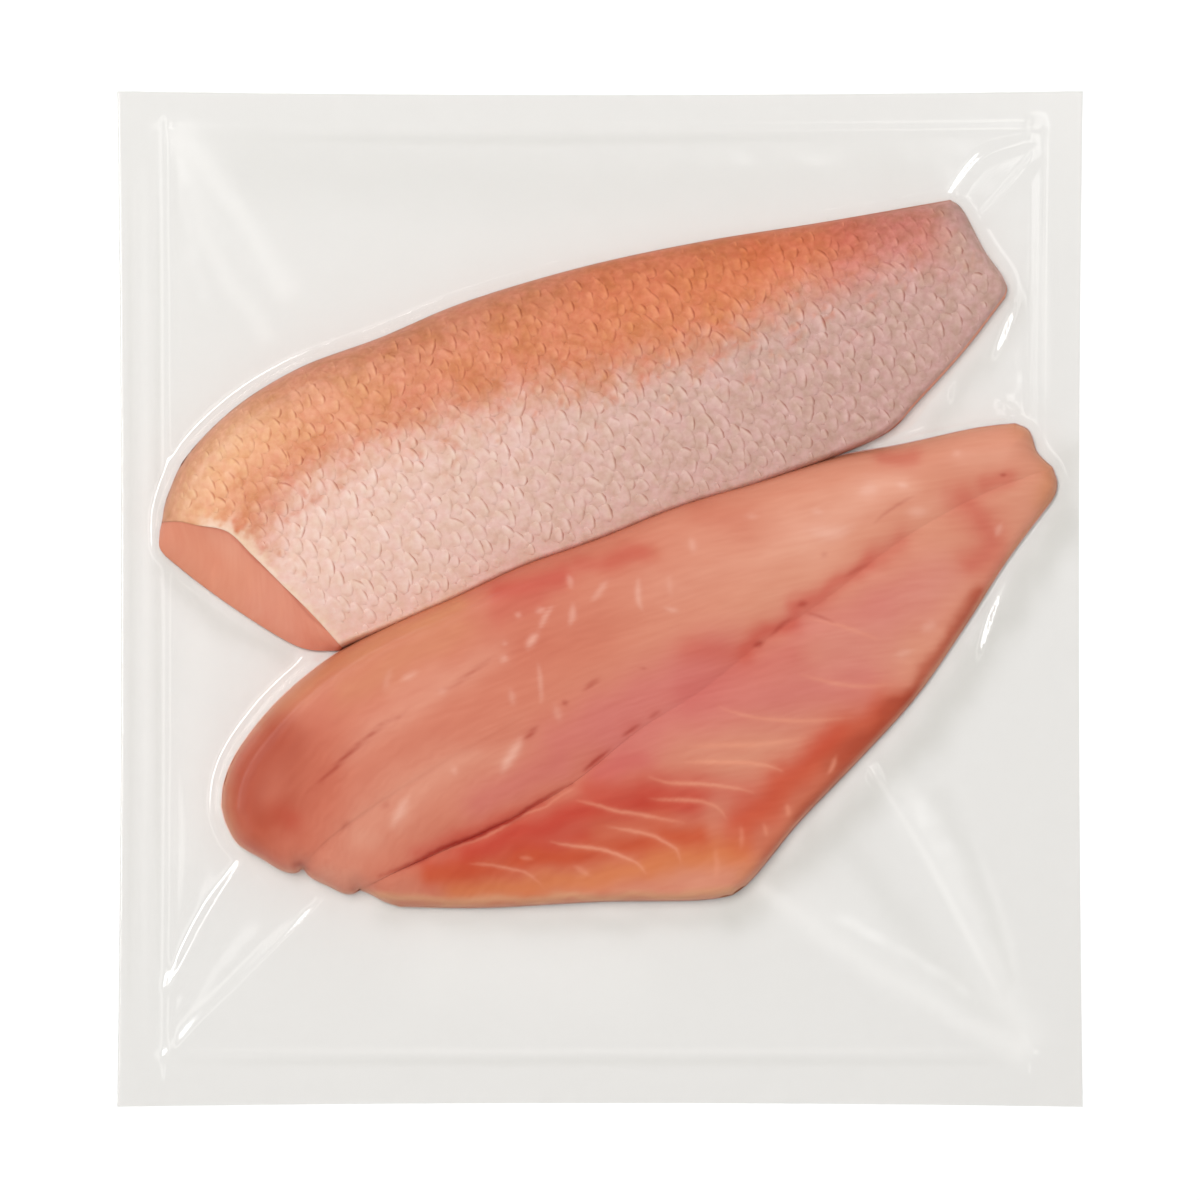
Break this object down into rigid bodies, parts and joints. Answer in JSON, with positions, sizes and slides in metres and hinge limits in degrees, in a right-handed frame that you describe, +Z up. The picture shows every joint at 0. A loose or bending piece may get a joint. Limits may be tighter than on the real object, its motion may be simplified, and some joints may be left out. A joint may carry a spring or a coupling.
{
  "type": "vacuum-packed red snapper fillet",
  "caption": "Clear vacuum pouch lying flat, its film drawn down tight over fish fillets laid side by side, skin side up and flesh side up.",
  "frame": {"origin": "middle of the pouch's flat underside", "axes": "+Z up from the table, +Y towards the pouch edge beside the skin-up fillet, +X to the tail ends"},
  "size_m": [0.251, 0.264, 0.02],
  "materials": {
    "film": "clear, smooth, glossy nylon and polyethylene film with fine creases",
    "fish_skin": "moist scaled fish skin with small scale pockets, orange along the back and silvery pink towards the belly",
    "fish_flesh": "moist raw fish flesh with thin pale muscle lines"
  },
  "bodies": {
    "root": {"vacuum_pack": "film"}
  },
  "joints": []
}
